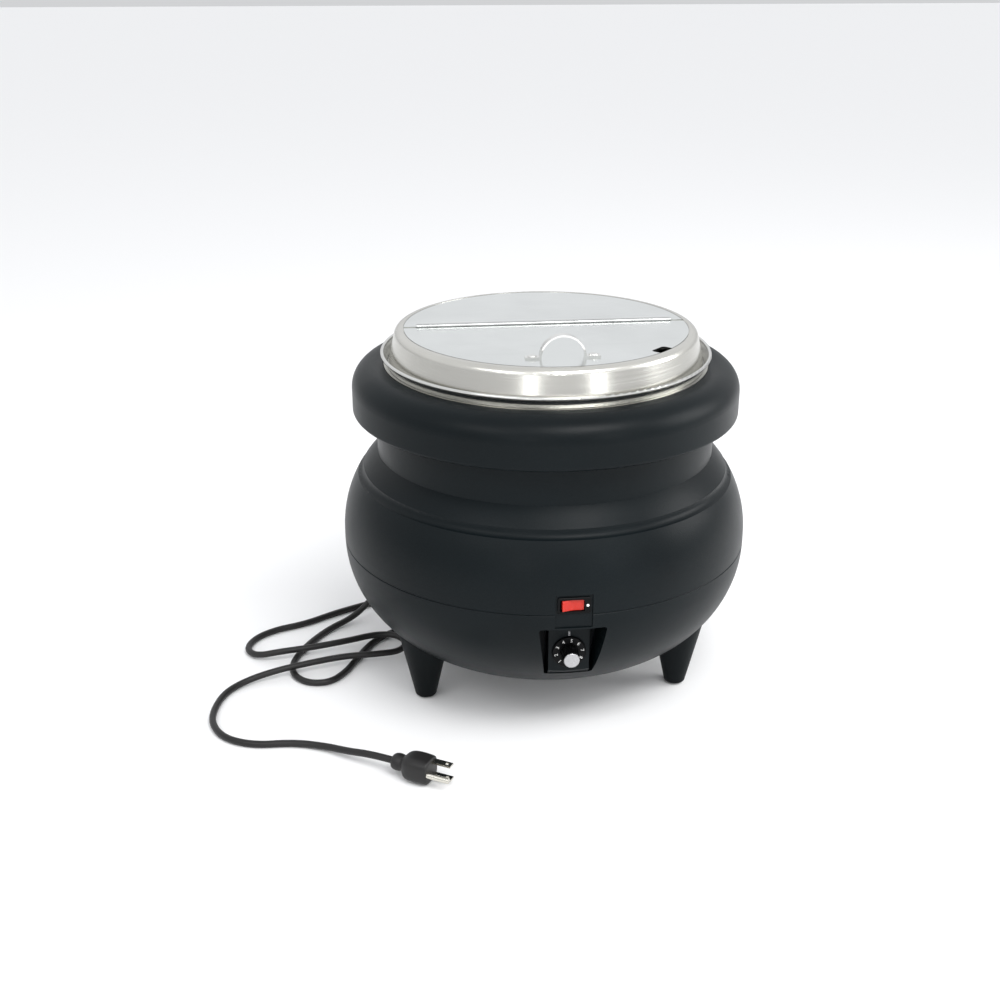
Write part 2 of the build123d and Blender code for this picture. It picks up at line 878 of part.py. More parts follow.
def make_heat_plate():
    low = heat_plate_height - heat_plate_thickness
    high = heat_plate_height
    plate = tube(heat_plate_radius, stud_radius, low, high)
    gap = radians(element_gap_angle / 2)
    for side in (-1, 1):
        spot = (-element_circle * cos(gap), side * element_circle * sin(gap), low)
        plate -= Pos(*spot) * Cylinder(element_radius, 10)
    plate -= Pos(cutoff_x, 0, low) * Cylinder(cutoff_radius + cutoff_gap, 10)
    return plate & block(-400, 400, -element_circle - element_radius - 2, 400, low - 1, high + 1)


def make_heater_stud():
    return rod_between((0, 0, well_bottom), (0, 0, well_bottom - stud_drop), stud_radius)


def make_heater_nut():
    high = heat_plate_height - heat_plate_thickness
    nut = Pos(0, 0, high - nut_height / 2) * extrude(RegularPolygon(nut_radius, 6), nut_height / 2, both=True)
    return nut - Cylinder(stud_radius, high * 4)


def make_cutoff():
    disc = Pos(cutoff_x, 0, well_bottom - cutoff_height / 2) * Cylinder(cutoff_radius, cutoff_height)
    for side in (-1, 1):
        y = side * cutoff_radius / 2
        high = well_bottom - cutoff_height
        disc += block(
            cutoff_x - tab_half_width, cutoff_x + tab_half_width,
            y - tab_half_thickness, y + tab_half_thickness, high - tab_length, high)
    return disc


def make_insulation():
    inner = well_outer_radius + insulation_gap
    wrap = tube(inner + insulation_thickness, inner, insulation_bottom, insulation_top)
    half = window_top_half_width + bezel_wall + insulation_relief
    wrap -= block(
        -half, half, -bulge_radius, 0, insulation_bottom - 1, plate_top + plate_flange + insulation_relief)
    return wrap


def make_base_plate():
    plate = Pos(0, 0, base_height + base_plate_thickness / 2) * Cylinder(base_plate_radius, base_plate_thickness)
    for i in range(base_screw_count):
        spot = base_screw_spot(i)
        plate -= Pos(*spot) * Cylinder(screw_radius, base_plate_thickness * 4)
    return plate


def make_base_screw(index):
    spot = base_screw_spot(index)
    return Pos(*spot) * screw(screw_head_radius, screw_head_height, screw_radius, screw_length)


def make_neck_screw(index):
    bearing = 360 / neck_screw_count * (index + 0.5)
    spot = at_bearing(neck_screw_circle, bearing, neck_foot_height + neck_wall)
    return Pos(*spot) * Rot(180, 0, 0) * screw(screw_head_radius * 0.9, screw_head_height, screw_radius, screw_length)


def leg_radius(height):
    return leg_foot_radius + leg_taper * height


def make_leg(spot):
    low = leg_foot_clear
    high = base_height + leg_reach
    cone = loft([
        Pos(spot.X, spot.Y, low) * Circle(leg_radius(low)),
        Pos(spot.X, spot.Y, high) * Circle(leg_radius(high)),
    ])
    cone = fillet(cone.edges().group_by(Axis.Z)[0], leg_foot_round)
    cone -= kettle_form(0)
    leg = cone.solids().sort_by(Axis.Z)[0]
    leg -= Pos(spot.X, spot.Y, pad_height / 2) * Cylinder(pad_radius, pad_height)
    leg -= rod_between((spot.X, spot.Y, leg_stud_bottom), (spot.X, spot.Y, high * 2), leg_stud_radius)
    return leg


def stud_top():
    reach = bowl_arc_radius - shell_wall
    inner = seam_height - sqrt(reach**2 - (leg_circle - bulge_radius + bowl_arc_radius) ** 2)
    return inner + leg_nut_height + 2


def make_leg_stud(spot):
    top = stud_top()
    stud = rod_between((spot.X, spot.Y, leg_stud_bottom), (spot.X, spot.Y, top), leg_stud_radius)
    nut = Pos(spot.X, spot.Y, top - leg_nut_height / 2 - 0.5) * Cylinder(leg_nut_radius, leg_nut_height)
    washer_cut = nut & kettle_form(shell_wall)
    return stud + washer_cut


def make_pad(spot):
    pad = Pos(spot.X, spot.Y, pad_height / 2) * Cylinder(pad_radius, pad_height)
    return fillet(pad.edges().group_by(Axis.Z)[0], pad_round)


def terminal_spot():
    height = base_height + base_plate_thickness + terminal_height / 2
    return at_bearing(terminal_circle, relief_bearing, height)


def make_terminal_block():
    spot = terminal_spot()
    body = Pos(*spot) * Box(terminal_length, terminal_width, terminal_height)
    for i in (-1, 0, 1):
        x = spot.X + i * terminal_length / 3
        body -= Pos(x, spot.Y, spot.Z + terminal_height / 2) * Cylinder(terminal_bore, terminal_height)
    return body


def wire(points, radius):
    path = FilletPolyline(*points, radius=corner_radii(points))
    return sweep(Plane(origin=path @ 0, z_dir=path % 0) * Circle(radius), path)


def make_switch_lead():
    spot = terminal_spot()
    start_x = spot.X - terminal_length / 2
    start_y = spot.Y - lead_spacing
    tab_y = -plate_front + plate_thickness + plate_flange_thickness + switch_body_depth + tab_length
    tab_x = rocker_x - tab_spacing
    circle = bulge_radius - lead_circle_inset
    turn_x = start_x - lead_start_straight
    stops = [(18, -90, spot.Z + 10), (4, -76, spot.Z + 34), (-2, -58, window_top - 10), (-2, -38, window_top + 10)]
    around = [tuple(at_bearing(circle - inset, bearing, height)) for inset, bearing, height in stops]
    return wire([
        (start_x, start_y, spot.Z),
        (turn_x, start_y, spot.Z),
        (turn_x - lead_start_turn, start_y - lead_start_turn, spot.Z + lead_radius),
        *around,
        tuple(at_bearing(circle - 6, -19, rocker_height + lead_radius)),
        (tab_x - lead_start_turn, tab_y + lead_end_straight, rocker_height + lead_radius),
        (tab_x, tab_y + lead_end_straight, rocker_height),
        (tab_x, tab_y, rocker_height),
    ], lead_radius)


def make_element_lead():
    spot = terminal_spot()
    gap = radians(element_gap_angle / 2)
    end_x = -element_circle * cos(gap)
    end_y = element_circle * sin(gap)
    end_z = element_height - element_tail
    edge = spot.Y - terminal_width / 2
    height = spot.Z - element_lead_drop
    return wire([
        (spot.X, edge, height),
        (spot.X, edge - element_lead_straight, height),
        (end_x, end_y - element_lead_straight, height),
        (end_x, end_y, height + element_lead_drop),
        (end_x, end_y, end_z),
    ], lead_radius)


def make_relief():
    flange = rod_between(relief_point(lap_clearance), relief_point(relief_flange_thickness), relief_flange_radius)
    nose = rod_between(relief_point(-shell_wall - relief_nose), relief_point(1), relief_base_radius)
    plane = Plane(origin=relief_point(1), z_dir=relief_direction())
    taper = loft([plane * Circle(relief_base_radius), plane.offset(relief_length - 1) * Circle(relief_tip_radius)])
    return flange + nose + taper


def make_cord_tail():
    start = relief_point(-shell_wall - relief_nose)
    bend = relief_point(-shell_wall - relief_nose - tail_straight)
    spot = terminal_spot()
    end_x = spot.X - terminal_length / 2
    end_y = spot.Y + lead_spacing
    return wire([
        tuple(start),
        tuple(bend),
        (end_x - tail_end_straight - tail_end_turn, end_y + tail_straight, spot.Z + tail_radius),
        (end_x - tail_end_straight, end_y, spot.Z),
        (end_x, end_y, spot.Z),
    ], tail_radius)


def cord_points():
    floor = cord_rest_height
    top = cord_hump_height
    angle = radians(plug_heading)
    last = Vector(*plug_at)
    before_plug = last - Vector(cos(angle), sin(angle), 0) * 20
    return [
        tuple(relief_point(relief_length)),
        tuple(relief_point(relief_length + 12)),
        (-162.0, 88.5, 17.5),
        (-179.0, 80.5, 5.5),
        (-202.0, 64.0, floor),
        (-222.0, 34.0, floor),
        (-234.5, 4.0, floor),
        (-235.0, -21.0, floor),
        (-222.0, -39.0, floor),
        (-201.0, -41.0, floor),
        (-186.0, -24.0, floor),
        (-174.0, 4.0, floor),
        (-160.0, 33.0, floor),
        (-139.0, 53.0, floor),
        (-111.0, 62.0, floor),
        (-80.0, 71.0, floor),
        (-51.0, 95.0, floor),
        (-44.0, 131.0, floor),
        (-67.0, 158.0, floor),
        (-102.0, 154.0, floor),
        (-132.0, 130.0, floor),
        (-166.0, 113.0, floor),
        (-197.0, 97.0, floor),
        (-226.0, 77.0, floor),
        (-254.0, 68.0, floor),
        (-274.0, 51.0, floor),
        (-280.0, 30.0, floor),
        (-269.0, 13.0, 5.0),
        (-247.0, 10.0, top),
        (-214.0, 16.0, top),
        (-182.0, 25.5, top),
        (-157.0, 35.0, top),
        (-138.0, 33.0, top),
        (-127.0, 18.0, top - 1),
        (-134.0, 1.0, top - 1),
        (-154.0, -4.0, top),
        (-186.0, -5.0, top),
        (-214.0, -13.0, top),
        (-246.0, -24.0, top),
        (-274.0, -30.0, 4.5),
        (-293.0, -47.0, floor),
        (-301.0, -74.0, floor),
        (-301.5, -100.0, floor),
        (-289.0, -125.0, floor),
        (-263.0, -138.5, floor),
        (-230.0, -138.0, floor),
        (-203.0, -148.0, floor + 1),
        (-184.0, -163.0, 7.5),
        tuple(before_plug),
        tuple(last),
    ]


def corner_radii(points):
    spots = [Vector(*p) for p in points]
    radii = []
    for before, here, after in zip(spots, spots[1:], spots[2:]):
        first = here - before
        second = after - here
        half_turn = radians(first.get_angle(second)) / 2
        radii.append(0.45 * min(first.length, second.length) / tan(half_turn))
    return radii


def make_cord():
    points = cord_points()
    radii = corner_radii(points)
    path = FilletPolyline(*points, radius=radii)
    section = Plane(origin=path @ 0, z_dir=path % 0) * Circle(cord_diameter / 2)
    cord = sweep(section, path)
    expected = pi * (cord_diameter / 2) ** 2 * path.length
    print("cord length", round(path.length, 1), "radii", [round(r) for r in radii])
    print("cord volume over section times length", round(cord.volume / expected, 4))
    return cord


def plug_plane(distance):
    angle = radians(plug_heading)
    direction = Vector(cos(angle), sin(angle), 0)
    origin = Vector(*plug_at) + direction * distance
    return Plane(origin=origin, x_dir=Vector(-sin(angle), cos(angle), 0), z_dir=direction)


def make_plug_body():
    neck = loft([
        plug_plane(0) * Circle(plug_boot_radius),
        plug_plane(plug_boot_length) * Circle(plug_neck_radius),
    ])
    face = RectangleRounded(plug_half_width * 2, plug_half_height * 2, plug_round)
    body = extrude(plug_plane(plug_boot_length) * face, plug_body_length)
    back = body.faces().filter_by(plug_plane(0)).sort_by(Axis.X)[0]
    return neck + fillet(back.edges(), plug_edge_round)


def make_blade(side):
    reach = plug_boot_length + plug_body_length
    face = Pos(blade_offset, side * blade_spacing / 2) * Rectangle(blade_width, blade_thickness)
    blade = extrude(plug_plane(reach) * face, blade_length)
    hole_plane = plug_plane(reach + blade_length - blade_hole_from_tip)
    hole = hole_plane.location * Pos(blade_offset, 0, 0) * Rot(90, 0, 0) * Cylinder(blade_hole_radius, blade_spacing * 2)
    return blade - hole


def make_ground_pin():
    reach = plug_boot_length + plug_body_length
    pin = extrude(plug_plane(reach) * Pos(ground_pin_offset, 0) * Circle(ground_pin_radius), ground_pin_length)
    return pin


def build_all():
    parts = {
        "upper_shell": make_upper_shell(),
        "lower_shell": make_lower_shell(),
        "neck_ring": make_neck_ring(),
        "collar": make_collar(),
        "water_well": make_well(),
        "insulation": make_insulation(),
        "heating_element": make_element(),
        "heat_plate": make_heat_plate(),
        "heater_stud": make_heater_stud(),
        "heater_nut": make_heater_nut(),
        "thermal_cutoff": make_cutoff(),
        "base_plate": make_base_plate(),
        "terminal_block": make_terminal_block(),
        "switch_lead": make_switch_lead(),
        "element_lead": make_element_lead(),
        "cord_tail": make_cord_tail(),
        "strain_relief": make_relief(),
        "cord_tube": make_cord(),
        "plug_body": make_plug_body(),
        "plug_ground_pin": make_ground_pin(),
        "control_bezel": make_bezel(),
        "thermostat_body": make_thermostat(),
        "thermostat_sensor": make_sensor(),
        "switch_plate": make_switch_plate(),
        "switch_frame": make_switch_frame(),
        "switch_body": make_switch_body(),
        "switch_dot": make_dot(),
        "rocker": make_rocker(),
        "knob_shaft": make_shaft(),
        "knob_dial": make_dial(),
        "knob_grip": make_grip(),
        "knob_cap": make_cap(),
        "inset_pot": make_pot(),
        "cover_ring": make_cover_ring(),
        "cover_rear_plate": make_rear_plate(),
        "hinge_rear_leaf": make_leaf(False),
        "hinge_pin": make_hinge_pin(),
        "cover_flap": make_flap(),
        "hinge_front_leaf": make_leaf(True),
        "flap_handle": make_handle(),
        "handle_rivet_left": make_rivet(-1),
        "handle_rivet_right": make_rivet(1),
    }
    for i, side in enumerate((-1, 1)):
        parts[f"plug_blade_{i + 1}"] = make_blade(side)
    for i, spot in enumerate(leg_spots()):
        parts[f"leg_{i + 1}"] = make_leg(spot)
        parts[f"leg_stud_{i + 1}"] = make_leg_stud(spot)
        parts[f"foot_pad_{i + 1}"] = make_pad(spot)
    for i in range(base_screw_count):
        parts[f"base_screw_{i + 1}"] = make_base_screw(i)
    for i in range(neck_screw_count):
        parts[f"neck_screw_{i + 1}"] = make_neck_screw(i)
    return parts


for name, solid in build_all().items():
    export_step(solid, f"parts/{name}.step")
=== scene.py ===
import bpy
import bmesh
from math import cos, pi, radians, sin
from mathutils import Matrix, Vector


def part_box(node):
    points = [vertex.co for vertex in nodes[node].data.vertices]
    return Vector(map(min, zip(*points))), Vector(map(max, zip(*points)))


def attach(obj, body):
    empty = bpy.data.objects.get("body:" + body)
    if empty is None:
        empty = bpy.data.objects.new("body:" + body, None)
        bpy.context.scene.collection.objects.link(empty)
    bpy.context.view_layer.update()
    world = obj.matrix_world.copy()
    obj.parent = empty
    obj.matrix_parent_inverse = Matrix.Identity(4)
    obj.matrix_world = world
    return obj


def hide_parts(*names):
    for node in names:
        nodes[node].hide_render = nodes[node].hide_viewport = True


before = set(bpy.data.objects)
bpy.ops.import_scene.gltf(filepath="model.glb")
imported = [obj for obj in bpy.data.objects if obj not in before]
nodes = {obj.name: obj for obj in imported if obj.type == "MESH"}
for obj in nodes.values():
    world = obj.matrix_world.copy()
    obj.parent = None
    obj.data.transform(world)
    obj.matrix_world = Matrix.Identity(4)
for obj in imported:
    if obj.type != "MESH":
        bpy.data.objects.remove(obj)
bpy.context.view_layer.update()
print("frame loaded, nodes:", len(nodes))

# camera
cameraLook = {
    "place": (-0.1614, -1.1199, 0.6243),
    "direction": (0.0998, 0.9189, -0.3816),
    "focal": 48.35,
    "filmWidth": 36.0,
    "farLimit": 60,
}


def makeCamera(look):
    data = bpy.data.cameras.new("viewCamera")
    data.lens = look["focal"]
    data.sensor_width = look["filmWidth"]
    data.clip_end = look["farLimit"]
    camera = bpy.data.objects.new("viewCamera", data)
    camera.location = look["place"]
    camera.rotation_euler = Vector(look["direction"]).to_track_quat("-Z", "Y").to_euler()
    bpy.context.scene.collection.objects.link(camera)
    bpy.context.scene.camera = camera


makeCamera(cameraLook)

# mains cord, from the strain relief round to the plug
cordLook = {
    "diameter": 0.006,
    "length": 1.30,
    "rest": 0.0031,
    "hump": 0.0099,
}


def cordRoute(look):
    rest = look["rest"]
    hump = look["hump"]
    return [
        (-0.1442, 0.0833, 0.0427),
        (-0.1515, 0.0875, 0.0341),
        (-0.1620, 0.0885, 0.0175),
        (-0.1790, 0.0805, 0.0055),
        (-0.2020, 0.0640, rest),
        (-0.2220, 0.0340, rest),
        (-0.2345, 0.0040, rest),
        (-0.2350, -0.0210, rest),
        (-0.2220, -0.0390, rest),
        (-0.2010, -0.0410, rest),
        (-0.1860, -0.0240, rest),
        (-0.1740, 0.0040, rest),
        (-0.1600, 0.0330, rest),
        (-0.1390, 0.0530, rest),
        (-0.1110, 0.0620, rest),
        (-0.0800, 0.0710, rest),
        (-0.0510, 0.0950, rest),
        (-0.0440, 0.1310, rest),
        (-0.0670, 0.1580, rest),
        (-0.1020, 0.1540, rest),
        (-0.1320, 0.1300, rest),
        (-0.1660, 0.1130, rest),
        (-0.1970, 0.0970, rest),
        (-0.2260, 0.0770, rest),
        (-0.2540, 0.0680, rest),
        (-0.2740, 0.0510, rest),
        (-0.2800, 0.0300, rest),
        (-0.2690, 0.0130, 0.0050),
        (-0.2470, 0.0100, hump),
        (-0.2140, 0.0160, hump),
        (-0.1820, 0.0255, hump),
        (-0.1570, 0.0350, hump),
        (-0.1380, 0.0330, hump),
        (-0.1270, 0.0180, hump - 0.001),
        (-0.1340, 0.0010, hump - 0.001),
        (-0.1540, -0.0040, hump),
        (-0.1860, -0.0050, hump),
        (-0.2140, -0.0130, hump),
        (-0.2460, -0.0240, hump),
        (-0.2740, -0.0300, 0.0045),
        (-0.2930, -0.0470, rest),
        (-0.3010, -0.0740, rest),
        (-0.3015, -0.1000, rest),
        (-0.2890, -0.1250, rest),
        (-0.2630, -0.1385, rest),
        (-0.2300, -0.1380, rest),
        (-0.2030, -0.1480, rest + 0.001),
        (-0.1840, -0.1630, 0.0075),
        (-0.1651, -0.1757, 0.0114),
        (-0.1480, -0.1860, 0.0114),
    ]


def makeCord(look):
    data = bpy.data.curves.new("mainsCord", "CURVE")
    data.dimensions = "3D"
    data.bevel_depth = 1.0  # the points' own radius sets the thickness
    data.bevel_resolution = 5
    data.resolution_u = 10
    data.use_fill_caps = True
    route = cordRoute(look)
    spline = data.splines.new("NURBS")
    spline.points.add(len(route) - 1)
    for point, place in zip(spline.points, route):
        point.co = (*place, 1.0)
        point.radius = look["diameter"] / 2
    spline.order_u = 3
    spline.use_endpoint_u = True
    cord = bpy.data.objects.new("mainsCord", data)
    bpy.context.scene.collection.objects.link(cord)
    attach(cord, "kettle")
    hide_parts("cord_tube")
    return cord


mainsCord = makeCord(cordLook)
print("camera and cord made")


# material helpers
def newMaterial(name, look):
    material = bpy.data.materials.new(name)
    material.use_nodes = True
    shader = material.node_tree.nodes["Principled BSDF"]
    shader.inputs["Base Color"].default_value = (*look["colour"], 1.0)
    shader.inputs["Roughness"].default_value = look["roughness"]
    shader.inputs["Metallic"].default_value = look.get("metal", 0.0)
    shader.inputs["Specular IOR Level"].default_value = look.get("specular", 0.5)
    shader.inputs["Coat Weight"].default_value = look.get("coat", 0.0)
    shader.inputs["Coat Roughness"].default_value = look.get("coatRoughness", 0.1)
    return material, shader


def addNode(material, kind, **values):
    node = material.node_tree.nodes.new(kind)
    for key, value in values.items():
        if hasattr(node, key):
            setattr(node, key, value)
        else:
            node.inputs[key.replace("_", " ")].default_value = value
    return node


def link(material, start, end):
    material.node_tree.links.new(start, end)


def placeOf(material):
    return addNode(material, "ShaderNodeTexCoord").outputs["Object"]


def noiseOf(material, place, scale, detail=3.0, stretch=(1, 1, 1)):
    mapping = addNode(material, "ShaderNodeMapping")
    mapping.inputs["Scale"].default_value = stretch
    link(material, place, mapping.inputs["Vector"])
    noise = addNode(material, "ShaderNodeTexNoise")
    noise.inputs["Scale"].default_value = scale
    noise.inputs["Detail"].default_value = detail
    link(material, mapping.outputs["Vector"], noise.inputs["Vector"])
    return noise.outputs["Fac"]


def spread(material, source, low, high, start=0.3, end=0.7):
    ranger = addNode(material, "ShaderNodeMapRange")
    ranger.inputs["From Min"].default_value = start
    ranger.inputs["From Max"].default_value = end
    ranger.inputs["To Min"].default_value = low
    ranger.inputs["To Max"].default_value = high
    link(material, source, ranger.inputs["Value"])
    return ranger.outputs["Result"]


def tint(material, source, dark, light, start=0.3, end=0.7):
    ramp = addNode(material, "ShaderNodeValToRGB")
    ramp.color_ramp.elements[0].position = start
    ramp.color_ramp.elements[0].color = (*dark, 1)
    ramp.color_ramp.elements[1].position = end
    ramp.color_ramp.elements[1].color = (*light, 1)
    link(material, source, ramp.inputs["Fac"])
    return ramp.outputs["Color"]


def bumpFrom(material, shader, source, strength, distance):
    bump = addNode(material, "ShaderNodeBump")
    bump.inputs["Strength"].default_value = strength
    bump.inputs["Distance"].default_value = distance
    link(material, source, bump.inputs["Height"])
    link(material, bump.outputs["Normal"], shader.inputs["Normal"])


def shade(colour, amount):
    return tuple(channel * amount for channel in colour)


# moulded plastic with a fine spark-eroded texture
def mouldedPlastic(name, look):
    material, shader = newMaterial(name, look)
    place = placeOf(material)
    grain = noiseOf(material, place, look["grain"], 2.0)
    cloud = noiseOf(material, place, 9.0, 4.0)
    link(material, tint(material, cloud, shade(look["colour"], 0.8), shade(look["colour"], 1.25)),
         shader.inputs["Base Color"])
    rough = spread(material, cloud, look["roughness"] - 0.05, look["roughness"] + 0.07)
    link(material, rough, shader.inputs["Roughness"])
    bumpFrom(material, shader, grain, look["texture"], 0.0004)
    return material


# steel spun or rolled, with fine lines round the axis or along X
def brushedSteel(name, look):
    material, shader = newMaterial(name, look)
    place = placeOf(material)
    if look["spun"]:
        parts = addNode(material, "ShaderNodeSeparateXYZ")
        link(material, place, parts.inputs["Vector"])
        squareX = addNode(material, "ShaderNodeMath", operation="MULTIPLY")
        link(material, parts.outputs["X"], squareX.inputs[0])
        link(material, parts.outputs["X"], squareX.inputs[1])
        squareY = addNode(material, "ShaderNodeMath", operation="MULTIPLY_ADD")
        link(material, parts.outputs["Y"], squareY.inputs[0])
        link(material, parts.outputs["Y"], squareY.inputs[1])
        link(material, squareX.outputs[0], squareY.inputs[2])
        radius = addNode(material, "ShaderNodeMath", operation="SQRT")
        link(material, squareY.outputs[0], radius.inputs[0])
        angle = addNode(material, "ShaderNodeMath", operation="ARCTAN2")
        link(material, parts.outputs["Y"], angle.inputs[0])
        link(material, parts.outputs["X"], angle.inputs[1])
        joined = addNode(material, "ShaderNodeCombineXYZ")
        link(material, radius.outputs[0], joined.inputs["X"])
        link(material, parts.outputs["Z"], joined.inputs["Y"])
        link(material, angle.outputs[0], joined.inputs["Z"])
        place = joined.outputs["Vector"]
        stretch = (900.0, 900.0, 1.2)
    else:
        stretch = (9.0, 900.0, 900.0)
    lines = noiseOf(material, place, 1.0, 4.0, stretch)
    cloud = noiseOf(material, placeOf(material), 14.0, 4.0)
    link(material, tint(material, cloud, shade(look["colour"], 0.93), shade(look["colour"], 1.04)),
         shader.inputs["Base Color"])
    rough = spread(material, lines, look["roughness"] - look["streak"], look["roughness"] + look["streak"])
    link(material, rough, shader.inputs["Roughness"])
    bumpFrom(material, shader, lines, look["brush"], 0.00008)
    return material


smudgeScale = 60.0  # how fine the handling marks are


# plain smooth finishes, with faint handling marks
def smoothFinish(name, look):
    material, shader = newMaterial(name, look)
    place = placeOf(material)
    smudge = noiseOf(material, place, smudgeScale, 4.0)
    link(material, tint(material, smudge, shade(look["colour"], 0.9), shade(look["colour"], 1.08)),
         shader.inputs["Base Color"])
    rough = spread(material, smudge, max(look["roughness"] - 0.05, 0.02), look["roughness"] + 0.07)
    link(material, rough, shader.inputs["Roughness"])
    return material


# woven glass blanket round the well
def wovenBlanket(name, look):
    material, shader = newMaterial(name, look)
    place = placeOf(material)
    wave = addNode(material, "ShaderNodeTexWave")
    wave.inputs["Scale"].default_value = 90.0
    wave.inputs["Distortion"].default_value = 1.5
    link(material, place, wave.inputs["Vector"])
    weave = tint(material, wave.outputs["Fac"], shade(look["colour"], 0.7), look["colour"], 0.1, 0.9)
    link(material, weave, shader.inputs["Base Color"])
    bumpFrom(material, shader, wave.outputs["Fac"], 0.6, 0.001)
    return material


finishes = {
    "bodyPlastic": mouldedPlastic("bodyPlastic", {
        "colour": (0.0034, 0.0058, 0.0070), "roughness": 0.37, "specular": 0.12,
        "grain": 900.0, "texture": 0.25}),
    "legPlastic": mouldedPlastic("legPlastic", {
        "colour": (0.0030, 0.0046, 0.0054), "roughness": 0.45, "specular": 0.09,
        "grain": 900.0, "texture": 0.25}),
    "controlPlastic": mouldedPlastic("controlPlastic", {
        "colour": (0.0025, 0.0027, 0.003), "roughness": 0.36, "specular": 0.1,
        "grain": 1400.0, "texture": 0.08}),
    "coverSteel": brushedSteel("coverSteel", {
        "colour": (0.62, 0.61, 0.57), "roughness": 0.24, "metal": 1.0,
        "brush": 0.03, "streak": 0.04, "spun": True}),
    "flapSteel": brushedSteel("flapSteel", {
        "colour": (0.74, 0.76, 0.75), "roughness": 0.19, "metal": 1.0,
        "brush": 0.04, "streak": 0.06, "spun": False}),
    "hingeSteel": brushedSteel("hingeSteel", {
        "colour": (0.5, 0.51, 0.5), "roughness": 0.24, "metal": 1.0,
        "brush": 0.03, "streak": 0.05, "spun": False}),
    "potSteel": brushedSteel("potSteel", {
        "colour": (0.66, 0.66, 0.64), "roughness": 0.2, "metal": 1.0,
        "brush": 0.04, "streak": 0.05, "spun": True}),
    "brightSteel": smoothFinish("brightSteel", {
        "colour": (0.76, 0.76, 0.74), "roughness": 0.14, "metal": 1.0}),
    "capSteel": smoothFinish("capSteel", {
        "colour": (0.45, 0.45, 0.46), "roughness": 0.28, "metal": 1.0}),
    "plugMetal": smoothFinish("plugMetal", {
        "colour": (0.62, 0.6, 0.54), "roughness": 0.2, "metal": 1.0}),
    "heaterMetal": smoothFinish("heaterMetal", {
        "colour": (0.3, 0.29, 0.28), "roughness": 0.4, "metal": 1.0}),
    "rockerRed": smoothFinish("rockerRed", {
        "colour": (0.52, 0.022, 0.012), "roughness": 0.35, "specular": 0.3, "coat": 0.1}),
    "markWhite": smoothFinish("markWhite", {
        "colour": (0.82, 0.82, 0.8), "roughness": 0.45}),
    "markGrey": smoothFinish("markGrey", {
        "colour": (0.33, 0.33, 0.34), "roughness": 0.5}),
    "cordRubber": mouldedPlastic("cordRubber", {
        "colour": (0.012, 0.0115, 0.0115), "roughness": 0.42, "specular": 0.35,
        "grain": 1500.0, "texture": 0.15}),
    "footRubber": mouldedPlastic("footRubber", {
        "colour": (0.012, 0.012, 0.012), "roughness": 0.75, "specular": 0.2,
        "grain": 1200.0, "texture": 0.3}),
    "blanket": wovenBlanket("blanket", {
        "colour": (0.75, 0.74, 0.68), "roughness": 0.9}),
}
print("materials made:", len(finishes))

# which finish each piece of the frame takes
finishOf = {
    "bodyPlastic": ["upper_shell", "lower_shell", "neck_ring", "collar", "control_bezel", "switch_plate",
                    "base_plate"],
    "legPlastic": ["leg_1", "leg_2", "leg_3"],
    "controlPlastic": ["knob_dial", "knob_grip", "switch_frame", "switch_body", "thermostat_body",
                       "terminal_block"],
    "coverSteel": ["cover_ring", "water_well", "heat_plate"],
    "flapSteel": ["cover_flap", "cover_rear_plate"],
    "potSteel": ["inset_pot"],
    "hingeSteel": ["hinge_rear_leaf", "hinge_front_leaf", "hinge_pin"],
    "capSteel": ["knob_cap"],
    "brightSteel": ["flap_handle", "handle_rivet_left", "handle_rivet_right", "knob_shaft", "heater_stud",
                    "heater_nut", "leg_stud_1", "leg_stud_2", "leg_stud_3", "base_screw_1", "base_screw_2",
                    "base_screw_3", "neck_screw_1", "neck_screw_2", "neck_screw_3"],
    "plugMetal": ["plug_blade_1", "plug_blade_2", "plug_ground_pin"],
    "heaterMetal": ["thermostat_sensor", "heating_element", "thermal_cutoff"],
    "rockerRed": ["rocker"],
    "markWhite": ["switch_dot"],
    "cordRubber": ["cord_tail", "strain_relief", "plug_body", "switch_lead", "element_lead"],
    "footRubber": ["foot_pad_1", "foot_pad_2", "foot_pad_3"],
    "blanket": ["insulation"],
}


def paint(piece, finish):
    if not piece.data.materials:
        piece.data.materials.append(finishes[finish])
    for slot in piece.material_slots:
        slot.material = finishes[finish]


for finish, names in finishOf.items():
    for name in names:
        paint(nodes[name], finish)
paint(mainsCord, "cordRubber")
print("frame painted")


# mesh helpers
def addPiece(name, mesh, body, finish):
    piece = bpy.data.objects.new(name, mesh)
    bpy.context.scene.collection.objects.link(piece)
    mesh.materials.append(finishes[finish])
    for face in mesh.polygons:
        face.use_smooth = True
    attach(piece, body)
    return piece


def skinRings(name, rings):
    mesh = bpy.data.meshes.new(name)
    work = bmesh.new()
    rows = [[work.verts.new(place) for place in ring] for ring in rings]
    for low, high in zip(rows, rows[1:]):
        count = len(low)
        for i in range(count):
            j = (i + 1) % count
            work.faces.new((low[i], low[j], high[j], high[i]))
    work.faces.new(list(reversed(rows[0])))
    work.faces.new(rows[-1])
    bmesh.ops.recalc_face_normals(work, faces=work.faces)
    work.to_mesh(mesh)
    work.free()
    return mesh


def axisFrame(origin, direction):
    forward = Vector(direction).normalized()
    side = forward.cross(Vector((0, 0, 1))).normalized()
    top = side.cross(forward)
    place = Matrix((side, top, forward)).transposed().to_4x4()
    place.translation = Vector(origin)
    return place


def softEdges(piece, width):
    bevel = piece.modifiers.new("softEdges", "BEVEL")
    bevel.width = width
    bevel.segments = 2
    bevel.limit_method = "ANGLE"
    bevel.angle_limit = radians(35)
    bevel.harden_normals = False


